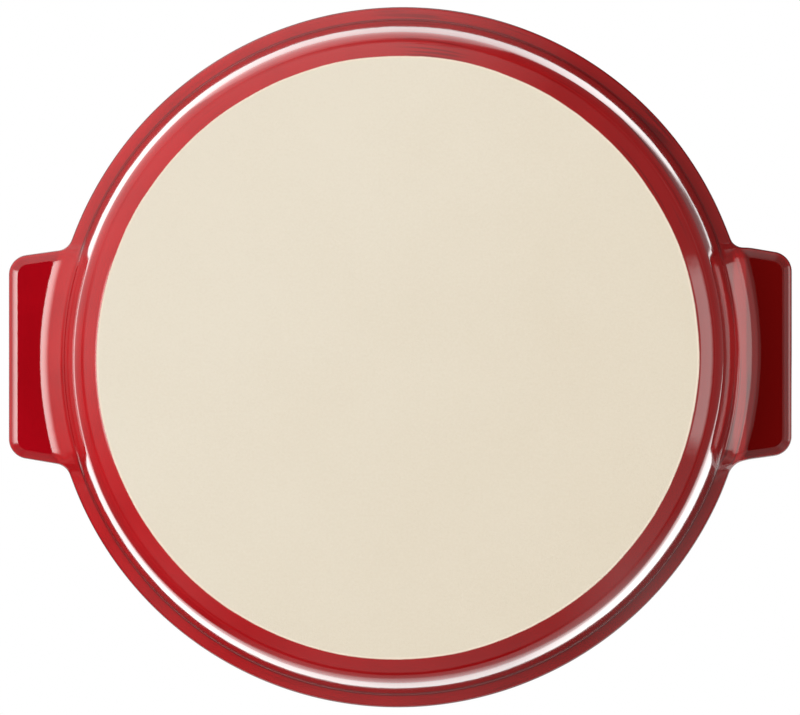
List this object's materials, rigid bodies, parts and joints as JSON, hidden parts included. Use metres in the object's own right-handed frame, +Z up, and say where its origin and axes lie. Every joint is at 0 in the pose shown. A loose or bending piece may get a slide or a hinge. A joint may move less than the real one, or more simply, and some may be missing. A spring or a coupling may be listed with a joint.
{
  "type": "camembert baker",
  "caption": "Low round ceramic baker with a flat base, leaning wall, rounded rim, tab handles on opposite sides, and a resting lid that turns over to make a plate.",
  "frame": {"origin": "centre of the flat unglazed base, on the surface that the dish stands on", "axes": "+Z up out of the dish, X along the line through both handles"},
  "size_m": [0.1954, 0.175, 0.06],
  "materials": {
    "red_glaze": "gloss"
  },
  "bodies": {
    "root": {"dish": "red_glaze", "lid": "red_glaze"}
  },
  "joints": []
}
